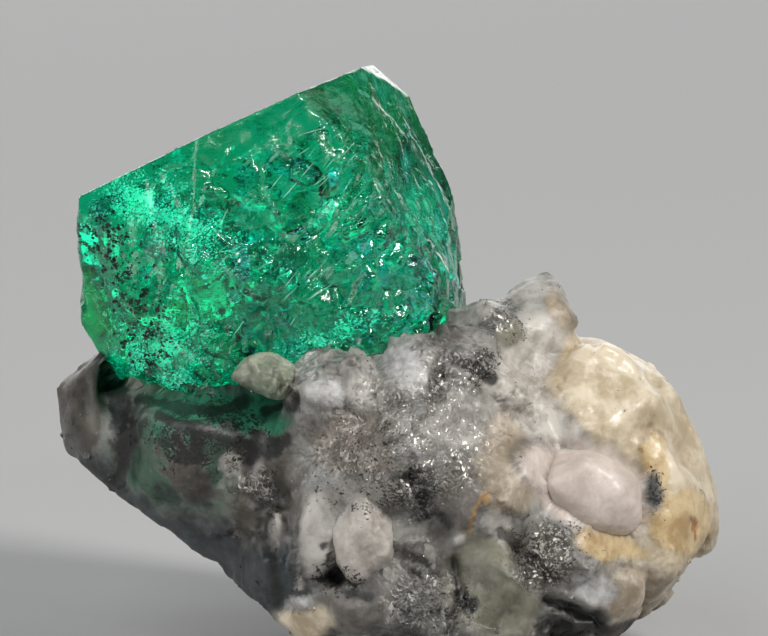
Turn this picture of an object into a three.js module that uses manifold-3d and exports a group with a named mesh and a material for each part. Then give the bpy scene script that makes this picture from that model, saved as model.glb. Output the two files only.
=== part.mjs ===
// Emerald in matrix: a stubby six-sided emerald that stands tilted in a lump of milky quartz with mica.
// Millimetres. +X runs to the right along the show side, +Y to the back, +Z up, and the show side faces -Y.
// The specimen is laid out square to its show side (x across, y back, z up) and then leans back by LEAN,
// which is how it rests on its flat sawn base.
import * as THREE from 'three';
import { ImprovedNoise } from 'three/addons/math/ImprovedNoise.js';
import { mergeVertices } from 'three/addons/utils/BufferGeometryUtils.js';
import Module from 'manifold-3d';

const wasm = await Module();
wasm.setup();

// Driving dimensions.
const LEAN = THREE.MathUtils.degToRad(10);
const BASE_LEVEL = -1.0;
const SEAT_GAP = 0.3;
const CUTTER = 80;
const FACET_SIZE = 1.35;

const CRYSTAL_RADIUS = 10.1;
const CRYSTAL_HEIGHT = 17;
const CRYSTAL_TOP = new THREE.Vector3(-9.41, 1.5, 25.1);
const CRYSTAL_TILT = THREE.MathUtils.degToRad(-24.8);
const CRYSTAL_TURN = THREE.MathUtils.degToRad(10);

// A swelling left on the crystal's left front face, in the crystal's own frame (see CRYSTAL_CHIPS).
const CRYSTAL_SWELLING = { at: [-5.2, -6.85, -5.6], half: [2.6, 2.6, 3.1], turn: -12 };

// Fractures of the emerald in its own frame: x along the top edge, y back, z up from the top face's middle.
const CRYSTAL_CHIPS = [
  { name: 'top left shell', normal: [-0.53, -0.77, 0.36], through: [-3.6, -9.15, -4.7] },
  { name: 'left side above', normal: [-0.92, -0.04, 0.39], through: [-7.54, 0, 0] },
  { name: 'left side below', normal: [-0.83, -0.2, -0.5], through: [-9.7, -1.75, -8.0] },
  { name: 'left front below', normal: [-0.58, -0.66, -0.48], through: [-5.6, -7.3, -9.4] },
  { name: 'top right corner', normal: [0.88, -0.1, 0.46], through: [8.56, 0, 0] },
  { name: 'right side below', normal: [0.93, -0.12, -0.35], through: [9.95, 1.75, -7.5] },
  { name: 'right front scar', normal: [0.5, -0.83, -0.24], through: [5.4, -7.9, -8.6] },
  { name: 'right front upper scar', normal: [0.82, -0.5, 0.26], through: [8.9, -2.6, -2.6] },
  { name: 'middle front scar', normal: [-0.1, -0.96, -0.26], through: [0.5, -8.8, -9.2] },
  { name: 'back', normal: [0.15, 0.97, 0.18], through: [0, 7.6, -4] },
  { name: 'back left', normal: [-0.78, 0.6, -0.15], through: [-7.6, 4.4, -6] },
  { name: 'foot', normal: [-0.24, -0.07, -0.97], through: [-7.78, -4, -11.25] },
];

// The lumps of quartz that the rock is made of: middle, half-axes, a turn about Y in degrees, and how square
// the lump is: 2 is a round swelling, and 4 is a block with soft edges.
const ROCK_LUMPS = [
  { name: 'core', at: [1.5, 0, 7.4], half: [11.4, 9.6, 8.0] },
  { name: 'left mass', at: [-9.3, 0.3, 8.7], half: [6.66, 7.06, 4.51], turn: 14, square: 2.4 },
  { name: 'far left lobe', at: [-15.0, 1.6, 10.45], half: [2.16, 4.7, 4.21], turn: -4, square: 2.4 },
  { name: 'left saddle', at: [-12.6, 3.4, 9.6], half: [3.4, 4.6, 3.8] },
  { name: 'back wall', at: [-5.5, 7.2, 10.5], half: [8.6, 4.2, 5.6] },
  { name: 'right mass', at: [10.4, 0.4, 7.6], half: [5.36, 7.21, 6.73], turn: 6, square: 2.5 },
  { name: 'right shoulder', at: [9.2, 0.8, 11.0], half: [4.99, 5.76, 4.03], turn: 22, square: 2.8 },
  { name: 'smoky tip', at: [6.6, -1.0, 14.8], half: [2.3, 3.26, 3.26], turn: 28, square: 2.8 },
  { name: 'tip flank', at: [4.9, -1.6, 14.2], half: [3.01, 3.69, 2.81], turn: -30, square: 2.6 },
  { name: 'right nub', at: [14.5, -0.4, 6.4], half: [1.6, 2.8, 2.6] },
  { name: 'front bulge', at: [0.6, -4.2, 8.0], half: [7.41, 6.24, 6.63], turn: 10, square: 2.5 },
  { name: 'front right bulge', at: [7.2, -4.2, 4.8], half: [5.4, 4.5, 5.0], turn: -8, square: 2.6 },
  { name: 'low middle', at: [2.0, -2.6, 1.6], half: [8.78, 7.21, 4.88], square: 2.5 },
  { name: 'low left', at: [-4.6, -3.0, 3.4], half: [4.2, 5.2, 4.2], turn: 30 },
  { name: 'bottom left knob', at: [-4.7, -6.4, 1.7], half: [1.46, 1.75, 1.65], square: 2.6 },
  { name: 'tall left grain', at: [-4.2, -7.3, 5.2], half: [1.19, 1.8, 2.94], turn: 4, square: 3 },
  { name: 'small white grain', at: [-6.0, -5.9, 5.6], half: [0.92, 1.55, 1.46], square: 2.6 },
  { name: 'seat rim', at: [0.2, -5.4, 11.3], half: [6.43, 4.19, 3.41], turn: -6, square: 2.5 },
  { name: 'seat grain left', at: [-3.0, -6.8, 12.3], half: [2.56, 2.47, 2.28], turn: -6, square: 3 },
  { name: 'seat grain middle', at: [0.6, -6.3, 12.5], half: [2.56, 2.85, 2.47], turn: 18, square: 3 },
  { name: 'seat grain right', at: [3.3, -5.2, 12.9], half: [2.47, 3.23, 2.47], turn: -10, square: 3 },
  { name: 'seat ledge', at: [-10.2, -3.9, 10.3], half: [4.0, 3.6, 1.7], turn: 6, square: 2.6 },
  { name: 'cream ridge', at: [9.6, -3.0, 10.0], half: [3.61, 4.18, 4.56], turn: 30, square: 3 },
  { name: 'cream cheek', at: [12.0, -3.0, 6.2], half: [3.3, 4.07, 4.66], turn: -10, square: 2.6 },
  { name: 'low right grain', at: [9.0, -5.2, 2.4], half: [3.04, 2.85, 2.66], square: 3 },
  { name: 'low middle block', at: [4.6, -6.9, 2.6], half: [2.48, 2.67, 2.85], turn: 12, square: 3.6 },
  { name: 'low back', at: [3.0, 3.4, 2.4], half: [8.4, 5.8, 4.6], turn: 4 },
];

// The feet that the rock rests on, below the breaks.
const ROCK_FEET = [
  { name: 'left foot', at: [-1.9, -2.6, -0.8], half: [3.9, 6.6, 3.2] },
  { name: 'back left foot', at: [-0.6, 2.8, 0.2], half: [4.6, 5.0, 3.4] },
];

// Large breaks that trim the whole rock, each a plane with its outward normal.
const ROCK_BREAKS = [
  { name: 'lower left', normal: [-0.6, 0.04, -0.8], through: [-8.2, 0, 2.85] },
  { name: 'lower left front', normal: [-0.62, -0.66, -0.42], through: [-9.6, -5.6, 6.0] },
  { name: 'upper right', normal: [0.91, 0.05, 0.4], through: [14.9, 0, 9.7] },
  { name: 'right foot', normal: [0.72, -0.1, -0.69], through: [14.1, 0, 2.9] },
  { name: 'back', normal: [0.1, 0.99, 0.05], through: [0, 9.6, 8] },
  { name: 'back left', normal: [-0.66, 0.74, 0.1], through: [-14.6, 6.9, 9] },
];

// Single grains that sit in the rock as crystals of their own.
const GRAINS = [
  {
    name: 'smooth_quartz_grain', at: [9.4, -6.45, 7.3], half: [2.6, 1.9, 1.85], turn: 24, square: 3,
    colour: 0xc9bcae,
  },
  {
    name: 'oval_quartz_grain', at: [-1.8, -8.35, 5.2], half: [1.55, 1.5, 2.25], turn: 6, square: 2.6,
    colour: 0xb5aba0,
  },
  {
    name: 'pale_green_beryl_grain', at: [-6.6, -7.2, 13.1], half: [1.5, 1.35, 1.0], turn: 14, square: 3.6,
    colour: 0x9fb39a,
  },
];

const EMERALD_GREEN = new THREE.MeshStandardMaterial({ color: 0x148a5e, roughness: 0.25, metalness: 0 });
const MILKY_QUARTZ = new THREE.MeshStandardMaterial({ color: 0xa39b8e, roughness: 0.6, metalness: 0 });

const noise = new ImprovedNoise();

// A closed three.js geometry as a manifold-3d solid.
function toSolid(geometry) {
  const bare = geometry.clone();
  bare.deleteAttribute('normal');
  bare.deleteAttribute('uv');
  const merged = mergeVertices(bare, 1e-4);
  return new wasm.Manifold(new wasm.Mesh({
    numProp: 3,
    vertProperties: merged.attributes.position.array,
    triVerts: new Uint32Array(merged.index.array),
  }));
}

// A manifold-3d solid back as a flat-shaded three.js geometry.
function toGeometry(solid) {
  const mesh = solid.getMesh();
  const geometry = new THREE.BufferGeometry();
  geometry.setAttribute('position', new THREE.BufferAttribute(mesh.vertProperties, mesh.numProp));
  geometry.setIndex(new THREE.BufferAttribute(mesh.triVerts, 1));
  const flat = geometry.toNonIndexed();
  flat.computeVertexNormals();
  return flat;
}

// A big block that lies beyond a plane, moved outwards by grow, ready to be cut away.
function beyond({ normal, through }, grow = 0) {
  const outward = new THREE.Vector3(...normal).normalize();
  const middle = new THREE.Vector3(...through).addScaledVector(outward, grow + CUTTER / 2);
  const block = new THREE.BoxGeometry(CUTTER, CUTTER, CUTTER);
  block.applyQuaternion(new THREE.Quaternion().setFromUnitVectors(new THREE.Vector3(0, 0, 1), outward));
  block.translate(middle.x, middle.y, middle.z);
  return toSolid(block);
}

// The emerald, or with grow the hollow that it sits in: a hexagonal prism trimmed by its fractures.
function emeraldSolid(grow = 0) {
  const CORNER_TO_SIDE = Math.PI / 6;
  const top = grow;
  const height = CRYSTAL_HEIGHT + 2 * grow;
  const radius = CRYSTAL_RADIUS + grow / Math.cos(Math.PI / 6);
  const prism = new THREE.CylinderGeometry(radius, radius, height, 6);
  prism.rotateX(Math.PI / 2);
  prism.rotateZ(CORNER_TO_SIDE + CRYSTAL_TURN);
  prism.translate(0, 0, top - height / 2);
  let solid = toSolid(prism).add(lump(CRYSTAL_SWELLING, 0, grow));
  for (const chip of CRYSTAL_CHIPS) solid = solid.subtract(beyond(chip, grow));
  const upright = toGeometry(solid);
  upright.rotateY(CRYSTAL_TILT);
  upright.translate(CRYSTAL_TOP.x, CRYSTAL_TOP.y, CRYSTAL_TOP.z);
  return toSolid(upright);
}

// A broken lump: a sphere chipped flat along evenly spread planes, roughened, stretched, turned and placed.
function lump({ at, half, turn = 0, square = 2 }, order, grow = 0) {
  const CHIPS = 12;
  const ROUND_CHIP_DEPTH = 0.84;
  const SQUARE_CHIP_DEPTH = 0.06;
  const ROUGHNESS = 0.07;
  const UNCHIPPED_REACH = 1.05;
  const chipDepth = ROUND_CHIP_DEPTH + SQUARE_CHIP_DEPTH * (square - 2);
  const detail = Math.max(2, Math.round(Math.max(...half) / FACET_SIZE));
  const GOLDEN = Math.PI * (3 - Math.sqrt(5));
  const planes = [];
  for (let i = 0; i < CHIPS; i += 1) {
    const height = 1 - (2 * i + 1) / CHIPS;
    const angle = GOLDEN * i + order * 1.7;
    const ring = Math.sqrt(1 - height * height);
    planes.push(new THREE.Vector3(ring * Math.cos(angle), ring * Math.sin(angle), height));
  }
  const ball = new THREE.IcosahedronGeometry(1, detail);
  const place = ball.attributes.position;
  const point = new THREE.Vector3();
  for (let i = 0; i < place.count; i += 1) {
    point.fromBufferAttribute(place, i).normalize();
    const sides = point.toArray().map((side) => Math.abs(side) ** square);
    const boxReach = (sides[0] + sides[1] + sides[2]) ** (-1 / square);
    let reach = UNCHIPPED_REACH * boxReach;
    for (const plane of planes) {
      const along = point.dot(plane);
      if (along > 0.1) reach = Math.min(reach, chipDepth / along);
    }
    const rough = noise.noise(point.x * 2.4 + order * 7.1, point.y * 2.4, point.z * 2.4);
    point.multiplyScalar(reach * (1 + ROUGHNESS * rough));
    place.setXYZ(i, point.x * (half[0] + grow), point.y * (half[1] + grow), point.z * (half[2] + grow));
  }
  ball.rotateY(THREE.MathUtils.degToRad(turn));
  ball.translate(...at);
  return toSolid(ball);
}

// The plane of the flat base, level once the specimen leans back.
function basePlane() {
  const down = new THREE.Vector3(0, Math.sin(LEAN), -Math.cos(LEAN));
  return { normal: down.toArray(), through: down.clone().multiplyScalar(-BASE_LEVEL).toArray() };
}

function rockSolid() {
  let rock = lump(ROCK_LUMPS[0], 0);
  ROCK_LUMPS.slice(1).forEach((one, i) => {
    rock = rock.add(lump(one, i + 1));
  });
  for (const broken of ROCK_BREAKS) rock = rock.subtract(beyond(broken));
  ROCK_FEET.forEach((one, i) => {
    rock = rock.add(lump(one, i + 30));
  });
  rock = rock.subtract(beyond(basePlane()));
  rock = rock.subtract(emeraldSolid(SEAT_GAP));
  GRAINS.forEach((grain, i) => {
    rock = rock.subtract(lump(grain, i + 40, SEAT_GAP));
  });
  const pieces = rock.decompose().sort((a, b) => b.volume() - a.volume());
  return pieces[0];
}

function named(name, solid, material) {
  const mesh = new THREE.Mesh(toGeometry(solid), material);
  mesh.name = name;
  return mesh;
}

const specimen = new THREE.Group();
const crystal = emeraldSolid();
specimen.add(named('emerald_crystal', crystal, EMERALD_GREEN));
specimen.add(named('matrix_rock', rockSolid(), MILKY_QUARTZ));
GRAINS.forEach((grain, i) => {
  const material = new THREE.MeshStandardMaterial({ color: grain.colour, roughness: 0.45, metalness: 0 });
  const clear = lump(grain, i + 40).subtract(emeraldSolid(SEAT_GAP));
  specimen.add(named(grain.name, clear, material));
});
specimen.rotation.x = -LEAN;

// The origin is in the middle of the bounding box's floor.
specimen.updateMatrixWorld(true);
const box = new THREE.Box3().setFromObject(specimen, true);
const stand = new THREE.Group();
stand.position.set(-(box.min.x + box.max.x) / 2, -(box.min.y + box.max.y) / 2, -box.min.z);
stand.add(specimen);

export default stand;
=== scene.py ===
# %% [markdown]
# # Emerald in matrix
# A stubby six-sided emerald stands tilted in a broken lump of milky quartz with mica. The frame gives every
# piece its place and its size, and each step below turns a plain solid into what the real material looks
# like. Everything is in metres, unless a name or a comment says millimetres.

# %% Load the frame
import math

import bpy
import numpy as np
from mathutils import Matrix, Vector, noise
from mathutils.bvhtree import BVHTree
from mathutils.kdtree import KDTree


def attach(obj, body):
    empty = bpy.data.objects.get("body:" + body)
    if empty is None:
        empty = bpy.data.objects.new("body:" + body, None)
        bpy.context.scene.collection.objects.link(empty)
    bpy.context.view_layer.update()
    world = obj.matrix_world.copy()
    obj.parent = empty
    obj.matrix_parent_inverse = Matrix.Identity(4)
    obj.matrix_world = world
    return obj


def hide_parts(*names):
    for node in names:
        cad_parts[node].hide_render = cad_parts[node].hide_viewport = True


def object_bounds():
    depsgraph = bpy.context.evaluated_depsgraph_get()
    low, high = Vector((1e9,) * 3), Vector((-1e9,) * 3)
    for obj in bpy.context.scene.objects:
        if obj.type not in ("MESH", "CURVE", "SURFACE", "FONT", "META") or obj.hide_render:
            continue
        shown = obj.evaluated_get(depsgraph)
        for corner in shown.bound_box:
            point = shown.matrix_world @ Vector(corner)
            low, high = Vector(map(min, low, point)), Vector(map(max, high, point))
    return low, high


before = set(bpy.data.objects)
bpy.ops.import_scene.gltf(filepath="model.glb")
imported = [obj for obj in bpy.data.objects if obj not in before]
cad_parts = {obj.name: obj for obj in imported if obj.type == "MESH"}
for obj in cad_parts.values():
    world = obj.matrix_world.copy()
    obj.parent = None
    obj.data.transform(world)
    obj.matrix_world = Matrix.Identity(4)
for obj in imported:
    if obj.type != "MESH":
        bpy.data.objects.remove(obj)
CAD_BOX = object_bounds()
print("frame nodes:", sorted(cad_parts))

# %% [markdown]
# ## Two handy frames
# The specimen was laid out square to its show side, and then leans back by ten degrees. Places on the rock
# are easiest to read in that upright layout, in millimetres: x across, y to the back, z up. The crystal has
# a frame of its own: x along its top edge, y to the back, z along the crystal, from its top face's middle.

# %% Layout and crystal frames
MM = 0.001
LEAN = math.radians(10)
STAND = Vector((0.605, -1.735, 1.0))
TO_ROW = Matrix.Scale(MM, 4) @ Matrix.Translation(STAND) @ Matrix.Rotation(-LEAN, 4, "X")
CRYSTAL_TILT = Matrix.Rotation(math.radians(-24.8), 4, "Y")
CRYSTAL_TO_ROW = TO_ROW @ Matrix.Translation((-9.41, 1.5, 25.1)) @ CRYSTAL_TILT


def placed_by(matrix, points):
    forth = np.array(matrix)
    return points @ forth[:3, :3].T + forth[:3, 3]


def seen_from(matrix, points):
    """Points of the row frame, as an array, read in the frame that matrix places in the row frame."""
    return placed_by(matrix.inverted(), points)


print("layout origin in the row frame, mm:", tuple(STAND))

# %% [markdown]
# ## Reading and writing points
# Every point of a fine mesh is moved a little, by rules for cleavage, fracture and grain. The rules are
# array maths, so the points go into an array and back again.

# %% Point helpers
def read(rows, field, width=3):
    """One field of a mesh's points or attributes, as an array with a row for each point."""
    flat = np.empty(len(rows) * width, np.float32)
    rows.foreach_get(field, flat)
    return flat.reshape(-1, width).astype(float)


def points_of(piece):
    return read(piece.data.vertices, "co")


def normals_of(piece):
    return read(piece.data.vertex_normals, "vector")


def zone_of(piece, name):
    return read(piece.data.attributes[name].data, "value", 1)[:, 0]


def set_points(piece, points):
    piece.data.vertices.foreach_set("co", points.astype(np.float32).ravel())
    piece.data.update()


def only(piece):
    """Leaves just this piece selected and active."""
    bpy.ops.object.select_all(action="DESELECT")
    piece.select_set(True)
    bpy.context.view_layer.objects.active = piece


def fade(value, low, high):
    """0 below low, 1 above high, and a smooth ramp between."""
    t = np.clip((value - low) / (high - low), 0, 1)
    return t * t * (3 - 2 * t)


def wave(points, size, octaves=1, seed=0):
    """Smooth noise from about -1 to 1, with swells of the given size in millimetres."""
    shift = Vector((seed * 7.31, seed * 3.17, seed * 5.53))
    scaled = points / size
    return np.array([noise.fractal(Vector(p) + shift, 1.0, 2.0, octaves) for p in scaled])


def chips(points, size, tilt, step, seed):
    """Heights in millimetres of a broken surface: flat chips, each with its own tilt and level."""
    dice = np.random.default_rng(seed)
    spread = np.ptp(points, axis=0)
    area = 2 * (spread[0] * spread[1] + spread[1] * spread[2] + spread[0] * spread[2])
    count = max(8, int(0.8 * area / size**2))
    middles = points[dice.choice(len(points), min(count, len(points)), replace=False)]
    lean = dice.normal(size=(len(middles), 3))
    level = dice.uniform(-1, 1, len(middles))
    tree = KDTree(len(middles))
    for i, middle in enumerate(middles):
        tree.insert(middle, i)
    tree.balance()
    bent = points + 0.22 * size * np.stack([wave(points, 0.6 * size, 1, seed + k) for k in range(3)], 1)
    nearest = np.array([tree.find(p)[1] for p in bent])
    return tilt * np.einsum("ij,ij->i", points - middles[nearest], lean[nearest]) + step * level[nearest]


def mesh_piece(name, points, faces):
    """A new piece from an array of points in metres and a list of faces."""
    mesh = bpy.data.meshes.new(name)
    mesh.from_pydata([tuple(p) for p in points], [], [tuple(f) for f in faces])
    mesh.update()
    piece = bpy.data.objects.new(name, mesh)
    bpy.context.scene.collection.objects.link(piece)
    return piece


def soften(piece, factor, rounds, group=""):
    """Smooths the active piece, or only the points of one of its groups."""
    smooth = piece.modifiers.new("soften", "SMOOTH")
    smooth.vertex_group = group
    smooth.factor = factor
    smooth.iterations = rounds
    bpy.ops.object.modifier_apply(modifier=smooth.name)


def fine_copy(node, name, voxel, smoothing):
    """A copy of a frame node as one even, fine mesh, ready to be shaped."""
    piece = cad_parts[node].copy()
    piece.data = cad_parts[node].data.copy()
    piece.name = name
    piece.parent = None
    for key in list(piece.keys()):
        del piece[key]
    bpy.context.scene.collection.objects.link(piece)
    piece.data.materials.clear()
    only(piece)
    bpy.ops.object.mode_set(mode="EDIT")
    bpy.ops.mesh.select_all(action="SELECT")
    bpy.ops.mesh.remove_doubles(threshold=1e-6)
    bpy.ops.object.mode_set(mode="OBJECT")
    remesh = piece.modifiers.new("even mesh", "REMESH")
    remesh.mode = "VOXEL"
    remesh.voxel_size = voxel * MM
    bpy.ops.object.modifier_apply(modifier=remesh.name)
    soften(piece, 0.5, smoothing)
    bpy.ops.object.shade_smooth()
    print(name, "fine mesh:", len(piece.data.polygons), "faces")
    return piece


# %% [markdown]
# ## Materials as expressions
# A material is a network of nodes. A small class wraps a node's output: adding or multiplying two of them
# adds the Math node that does it. One method makes any other node, and one mixes colours.

# %% Node expressions
class Wire:
    """One output of a node. Sums and products of wires become Math nodes."""

    def __init__(self, finish, socket):
        self.finish = finish
        self.socket = socket

    def do(self, operation, *values):
        inputs = dict(enumerate((self, *values)))
        return self.finish.node("ShaderNodeMath", {"operation": operation}, inputs)

    def __add__(self, other):
        return self.do("ADD", other)

    def __mul__(self, other):
        return self.do("MULTIPLY", other)

    def __sub__(self, other):
        return self.do("SUBTRACT", other)

    def __rsub__(self, other):
        return self.do("MULTIPLY", -1.0) + other

    __radd__ = __add__
    __rmul__ = __mul__

    def between(self, low, high):
        """0 below low, 1 above high."""
        inputs = {0: self, 1: low, 2: high, 3: 0.0, 4: 1.0}
        return self.finish.node("ShaderNodeMapRange", {"interpolation_type": "SMOOTHSTEP"}, inputs)


class Finish:
    """A material that is built up by expressions."""

    def __init__(self, name):
        self.material = bpy.data.materials.new(name)
        self.material.use_nodes = True
        self.tree = self.material.node_tree
        self.tree.nodes.clear()
        self.out = self.tree.nodes.new("ShaderNodeOutputMaterial")
        self.place = self.node("ShaderNodeTexCoord", {}, {}, "Object")
        sway = self.cloud(0.9, 2.0, 0.5, 0.0, "Color")
        centred = self.vector("SUBTRACT", sway, (0.5, 0.5, 0.5))
        self.bent = self.vector("ADD", self.place, self.vector("SCALE", centred, None, 0.9 * MM))

    def node(self, kind, settings, inputs, output=0):
        made = self.tree.nodes.new(kind)
        for key, value in settings.items():
            setattr(made, key, value)
        for key, value in inputs.items():
            if isinstance(value, Wire):
                self.tree.links.new(value.socket, made.inputs[key])
            else:
                made.inputs[key].default_value = value
        return Wire(self, made.outputs[output])

    def zone(self, name, output="Fac"):
        """A patch, from 0 to 1, or a colour that was marked on the mesh."""
        return self.node("ShaderNodeAttribute", {"attribute_name": name}, {}, output)

    def vector(self, operation, first, second=None, scale=None):
        inputs = {0: first}
        if second is not None:
            inputs[1] = second
        if scale is not None:
            inputs["Scale"] = scale
        return self.node("ShaderNodeVectorMath", {"operation": operation}, inputs)

    def cloud(self, size, detail=2.0, rough=0.5, warp=0.0, output=0):
        """Noise with features of that size in millimetres, about 0.5 on average."""
        inputs = {"Vector": self.place, "Scale": 1000.0 / size, "Detail": detail, "Roughness": rough,
                  "Distortion": warp}
        return self.node("ShaderNodeTexNoise", {}, inputs, output)

    def cells(self, size):
        """A colour for each of many slightly bent cells of that size in millimetres."""
        return self.node("ShaderNodeTexVoronoi", {}, {"Vector": self.bent, "Scale": 1000.0 / size}, "Color")

    def blend(self, amount, first, second):
        def colour(c):
            return c if isinstance(c, Wire) else (*c, 1.0)

        settings = {"data_type": "RGBA", "clamp_factor": True}
        return self.node("ShaderNodeMix", settings, {0: amount, 6: colour(first), 7: colour(second)}, 2)

    def bump(self, height, depth, strength=1.0):
        """A Bump node: height from 0 to 1 stands for depth in millimetres."""
        inputs = {"Height": height, "Distance": depth * MM, "Strength": strength}
        return self.node("ShaderNodeBump", {}, inputs)

    def glints(self, size, spread, under):
        """Turns the surface a little, cell by cell, so that tiny cleavage faces flash one at a time."""
        centred = self.vector("SUBTRACT", self.cells(size), (0.5, 0.5, 0.5))
        turned = self.vector("ADD", under, self.vector("SCALE", centred, None, spread))
        return self.vector("NORMALIZE", turned)

    def principled(self, inputs):
        return self.node("ShaderNodeBsdfPrincipled", {}, inputs)

    def close(self, surface, volume=None):
        self.tree.links.new(surface.socket, self.out.inputs["Surface"])
        if volume is not None:
            self.tree.links.new(volume.socket, self.out.inputs["Volume"])
        print("finish", self.material.name, "has", len(self.tree.nodes), "nodes")
        return self.material


# %% [markdown]
# ## The emerald's body
# The crystal is a hexagonal prism whose sides and corners broke away in shells. Its copy gets an even fine
# mesh, and then low growth steps on the prism faces, curved ripples where it broke, and a nearly flat top.

# %% Shape the emerald
EMERALD_VOXEL = 0.15
SHRINK = 0.12
emerald = fine_copy("emerald_crystal", "emerald", EMERALD_VOXEL, 5)


def shape_emerald(piece):
    row = points_of(piece)
    push = normals_of(piece)
    own = seen_from(CRYSTAL_TO_ROW, row)
    turn = np.array(CRYSTAL_TO_ROW.inverted().to_3x3().normalized())
    facing = push @ turn.T
    facing /= np.linalg.norm(facing, axis=1, keepdims=True)
    flat_top = fade(facing[:, 2], 0.75, 0.95) * fade(own[:, 2], -0.8, -0.3)
    near_top = fade(own[:, 2], -1.2, -0.2)
    rough = 1 - 0.93 * flat_top
    rough *= 1 - 0.7 * near_top
    rough *= 1 - 0.6 * fade(own[:, 0], 5.5, 8.0)
    height = 0.16 * wave(own, 3.2, 3, 1)
    shells = fade(wave(own, 4, 1, 5), -0.3, 0.2)
    height += chips(own, 2.6, 0.05, 0.05, 11) + chips(own, 0.95, 0.05, 0.025, 12) * shells
    drawn_out = own * np.array([1.0, 1.0, 0.35])
    height += 0.03 * wave(drawn_out, 0.7, 2, 2)
    low = fade(-own[:, 2], 6.5, 9.5)
    height += low * (chips(own, 1.5, 0.16, 0.1, 13) + 0.08 * wave(own, 0.6, 2, 6))
    scar = fade(own[:, 0], 0.5, 4.0) * fade(-own[:, 2], 3.0, 6.0) * fade(-own[:, 1], 1, 4)
    reach = np.linalg.norm(own - np.array([2.0, -8.0, 1.0]), axis=1) + 0.5 * wave(own, 2.0, 2, 3)
    height += scar * 0.07 * np.sin(reach * 5.2)
    moved = row + push * (height * rough - SHRINK)[:, None] * MM
    set_points(piece, moved)


shape_emerald(emerald)
print("emerald height, mm:", round(np.ptp(points_of(emerald)[:, 2]) * 1000, 2))

# %% [markdown]
# ## Cracks inside the emerald
# Thin cracks make an emerald flash: light that meets a thin sheet of air at a slant is thrown back as by a
# mirror. Each crack is a closed, wavy, lens-thin hollow in the crystal, so its faces point into the hollow,
# and it is joined to the crystal's mesh.

# %% Cracks
emerald_bvh = BVHTree.FromObject(emerald, bpy.context.evaluated_depsgraph_get())


def is_inside(point, margin):
    place, normal, _, away = emerald_bvh.find_nearest(point)
    return (Vector(point) - place).dot(normal) < 0 and away > margin * MM


def crack(centre, normal, radius, wobble, thick, rings, spokes, seed):
    """Points and faces of one lens-thin hollow, in the row frame, kept inside the crystal."""
    centre = Vector(centre)
    up = Vector(normal).normalized()
    side = up.orthogonal().normalized()
    other = up.cross(side)
    points, faces = [], []
    if not is_inside(CRYSTAL_TO_ROW @ centre, 0.3):
        return points, faces

    def lifted(own):
        return own + up * (wobble * noise.fractal(own / (0.55 * radius + 0.3), 1.0, 2.0, 3))

    sheet = [[None] * spokes for _ in range(rings + 1)]
    for s in range(spokes):
        angle = 2 * math.pi * s / spokes
        bulge = noise.noise(Vector((math.cos(angle) * 1.3, math.sin(angle) * 1.3, seed * 3.7)))
        edge = radius * (1 + 0.35 * bulge)
        for r in range(1, rings + 1):
            reach = edge * r / rings
            flat = side * math.cos(angle) * reach + other * math.sin(angle) * reach
            own = lifted(centre + flat)
            if not is_inside(CRYSTAL_TO_ROW @ own, 0.12):
                own = sheet[r - 1][s] if r > 1 else centre
            sheet[r][s] = own
    hub = lifted(centre)
    for face in (1, -1):
        points.append(CRYSTAL_TO_ROW @ (hub + up * face * thick / 2))
        for r in range(1, rings):
            open_up = thick / 2 * math.sqrt(max(0.0, 1 - (r / rings) ** 2))
            for s in range(spokes):
                points.append(CRYSTAL_TO_ROW @ (sheet[r][s] + up * face * open_up))
    rim = len(points)
    points.extend(CRYSTAL_TO_ROW @ own for own in sheet[rings])
    half = 1 + (rings - 1) * spokes
    for face, base in ((1, 0), (-1, half)):
        for s in range(spokes):
            t = (s + 1) % spokes
            loops = [[base, base + 1 + s, base + 1 + t]]
            for r in range(rings - 1):
                a, b = base + 1 + r * spokes + s, base + 1 + r * spokes + t
                c, d = (a + spokes, b + spokes) if r < rings - 2 else (rim + s, rim + t)
                loops.append([a, c, d, b])
            faces.extend(loop[::-face] for loop in loops)
    return points, faces


WIDE_CRACKS = 15
SMALL_CRACKS = 110
CRACK_FAMILIES = [(0.2, -0.43, 0.87), (0.8, -0.25, 0.55), (-0.3, -0.55, 0.78), (0.1, 0.95, -0.2)]
FLASH_LEAN = (0.41, -0.2, 0.89)
FLASHES = [
    # middle, spread, cracks: swarms that throw the light from behind to the show side
    ((-3.6, -5.0, -4.0), (2.2, 1.8, 2.2), 44),
    ((-5.6, -4.6, -9.6), (1.8, 1.8, 1.5), 30),
    ((3.6, -4.6, -11.4), (2.6, 1.4, 0.8), 20),
    ((-5.6, -3.6, -1.6), (1.6, 1.6, 0.6), 16),
]


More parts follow.
